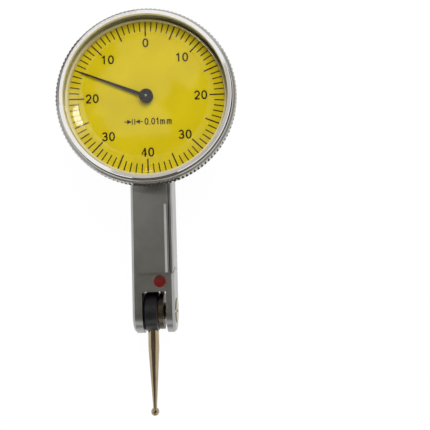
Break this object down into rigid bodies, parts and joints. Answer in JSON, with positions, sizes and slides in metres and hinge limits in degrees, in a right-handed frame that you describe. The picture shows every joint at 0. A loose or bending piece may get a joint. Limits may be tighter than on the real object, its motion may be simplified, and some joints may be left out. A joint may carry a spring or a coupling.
{
  "type": "dial test indicator",
  "caption": "Lever-type dial test indicator: dovetailed arm, swivelling stylus with a contact ball, gear movement and a round dial in a turning knurled bezel.",
  "frame": {"origin": "on the back dovetail's flat face, halfway along it and in the plane of the dial's axis", "axes": "+Y along the arm from the stylus to the dial, +Z out through the crystal, +X to the side with the cover plate"},
  "size_m": [0.037, 0.0843, 0.0167],
  "materials": {
    "satin_chrome": "satin",
    "bright_chrome": "polished ring, knurled flange",
    "gilt_steel": "polished",
    "screw_steel": "turned",
    "red_lacquer": "glossy lacquer",
    "jewel": "polished",
    "movement_brass": "satin",
    "hardened_steel": "polished",
    "spring_alloy": "polished",
    "lever_nickel": "satin nickel",
    "clutch_bronze": "satin bronze",
    "black_holder": "black oxide",
    "polished_steel": "polished",
    "pointer_black": "satin black",
    "dial_yellow": "satin enamel",
    "crystal": "clear",
    "gasket": "matt"
  },
  "bodies": {
    "frame": {"body_frame": "satin_chrome", "cover_plate": "satin_chrome", "cover_screws": "screw_steel", "left_bearing_screw": "gilt_steel", "right_bearing_screw": "gilt_steel", "stop_screw": "screw_steel", "red_seal": "red_lacquer", "stop_pin": "screw_steel", "left_jewel": "jewel", "right_jewel": "jewel", "cock": "movement_brass", "cock_screw": "screw_steel", "lower_jewel": "jewel", "bridge": "movement_brass", "bridge_screws": "screw_steel", "upper_jewel": "jewel", "hairspring": "spring_alloy", "hairspring_stud": "screw_steel", "retaining_wire": "screw_steel"},
    "lever": {"measuring_lever": "lever_nickel", "lever_axle": "screw_steel", "sector_gear": "lever_nickel", "clutch_washer": "clutch_bronze", "clutch_nut": "screw_steel"},
    "stylus_arm": {"stylus_holder": "black_holder", "stylus": "polished_steel", "contact_ball": "polished_steel"},
    "crown_shaft": {"crown_arbor": "hardened_steel", "crown_wheel": "movement_brass"},
    "pointer_shaft": {"pointer_arbor": "hardened_steel", "hairspring_collet": "movement_brass", "pointer": "pointer_black"},
    "bezel_ring": {"bezel": "bright_chrome", "dial_plate": "dial_yellow", "dial_retainer": "movement_brass", "crystal": "crystal", "crystal_gasket": "gasket"}
  },
  "joints": [
    {"name": "bezel_turn", "type": "hinge", "parent": "frame", "child": "bezel_ring", "pos_m": [0, 0.029, 0.014], "axis": [0, 0, 1], "continuous": true},
    {"name": "lever_swing", "type": "hinge", "parent": "frame", "child": "lever", "pos_m": [0, -0.0152, 0.0063], "axis": [1, 0, 0], "range_deg": [0, 2.5], "stiffness_Nm_per_rad": 0.02, "springref_deg": -11.46},
    {"name": "stylus_set", "type": "hinge", "parent": "lever", "child": "stylus_arm", "pos_m": [-0.0007, -0.0152, 0.0063], "axis": [1, 0, 0], "range_deg": [-110, 110]},
    {"name": "crown_turn", "type": "hinge", "parent": "frame", "child": "crown_shaft", "pos_m": [0, 0.029, 0.0075], "axis": [1, 0, 0], "range_deg": [-66.5, 0]},
    {"name": "pointer_turn", "type": "hinge", "parent": "frame", "child": "pointer_shaft", "pos_m": [0, 0.029, 0.012], "axis": [0, 0, 1], "range_deg": [-410, 0]}
  ],
  "couplings": [
    {"joint": "crown_turn", "follows": "lever_swing", "ratio": -26.5},
    {"joint": "pointer_turn", "follows": "lever_swing", "ratio": -163.42}
  ]
}
